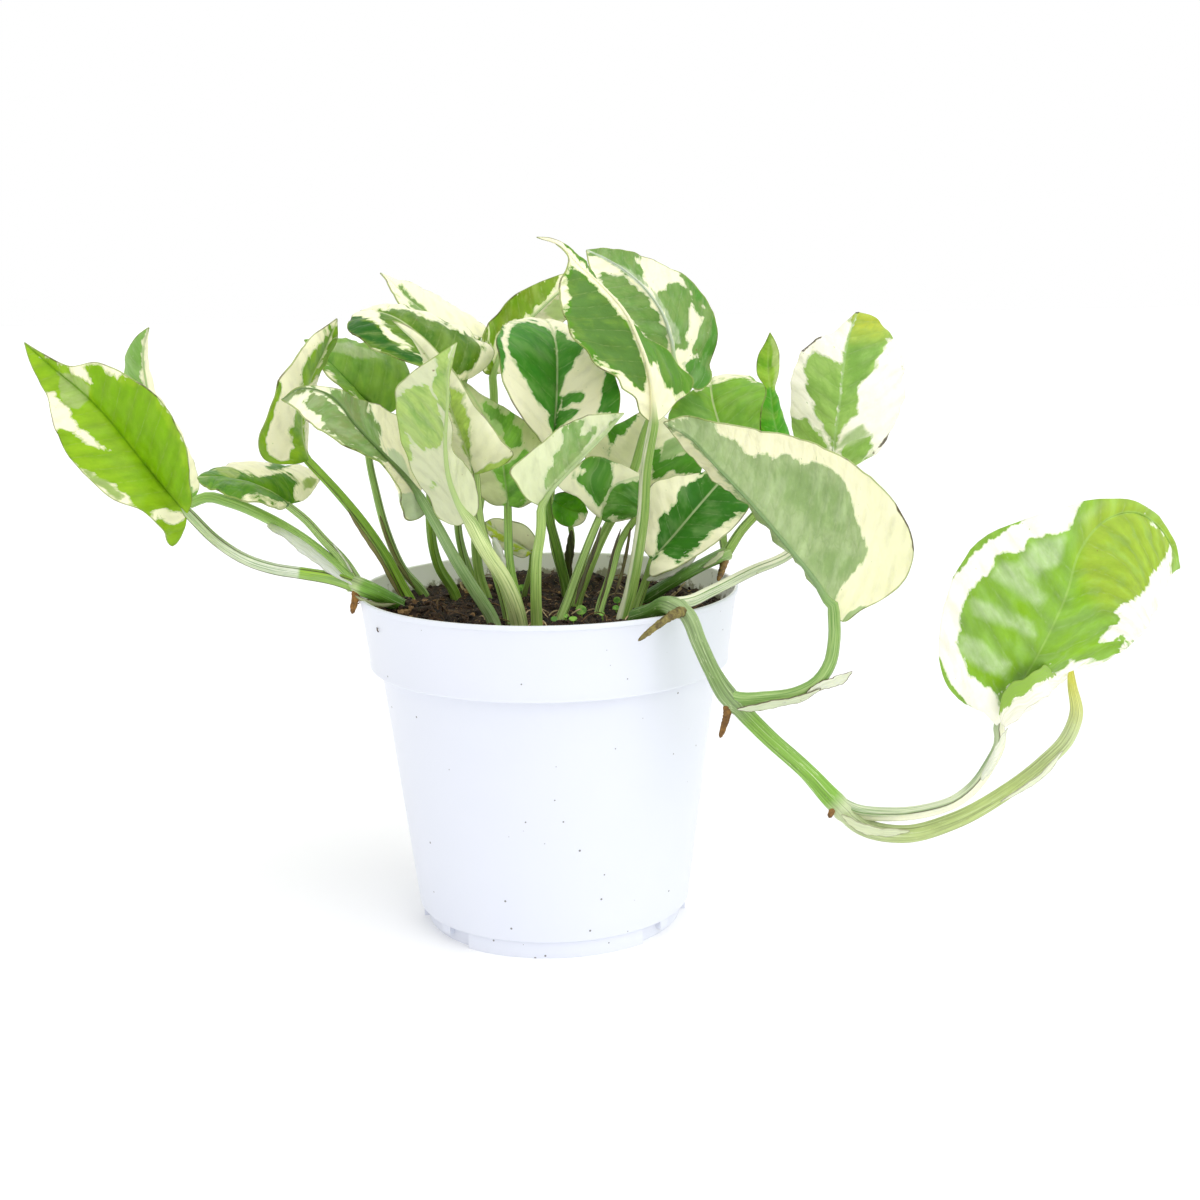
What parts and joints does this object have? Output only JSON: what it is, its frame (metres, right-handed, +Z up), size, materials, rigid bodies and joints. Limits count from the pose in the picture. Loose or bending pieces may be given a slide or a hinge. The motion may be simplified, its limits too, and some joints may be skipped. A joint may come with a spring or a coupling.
{
  "type": "potted pothos",
  "caption": "Trailing pothos with cream and green leaves on slender stalks, growing in soil in a white round nursery pot, with leafy stems reaching out over the rim.",
  "frame": {"origin": "centre of the whole plant's bounding box, at the surface that the pot stands on", "axes": "+Z up; +X to the right in the picture, along the longest side; +Y away from the picture's view, along the shortest side"},
  "size_m": [0.3373, 0.1812, 0.2156],
  "materials": {
    "leaf": "satin",
    "vine": "satin",
    "pot": "satin",
    "soil": "matte"
  },
  "bodies": {
    "root": {"leaf_behind_stalks": "leaf", "leaf_crescent": "leaf", "leaf_front_cream": "leaf", "leaf_front_folded": "leaf", "leaf_front_left": "leaf", "leaf_left_arching": "leaf", "leaf_left_behind": "leaf", "leaf_middle_heart": "leaf", "leaf_middle_left": "leaf", "leaf_rear_left": "leaf", "leaf_rear_middle": "leaf", "leaf_rear_right": "leaf", "leaf_right_dark": "leaf", "leaf_small_cream": "leaf", "leaf_small_dark": "leaf", "leaf_small_round": "leaf", "leaf_top_folded": "leaf", "leaf_top_right": "leaf", "leaf_upper_left_broad": "leaf", "leaf_upper_left_cream": "leaf", "leaf_upper_middle": "leaf", "pot": "pot", "soil": "soil", "vine_left": "vine", "vine_rear": "vine", "vine_right": "vine"}
  },
  "joints": []
}
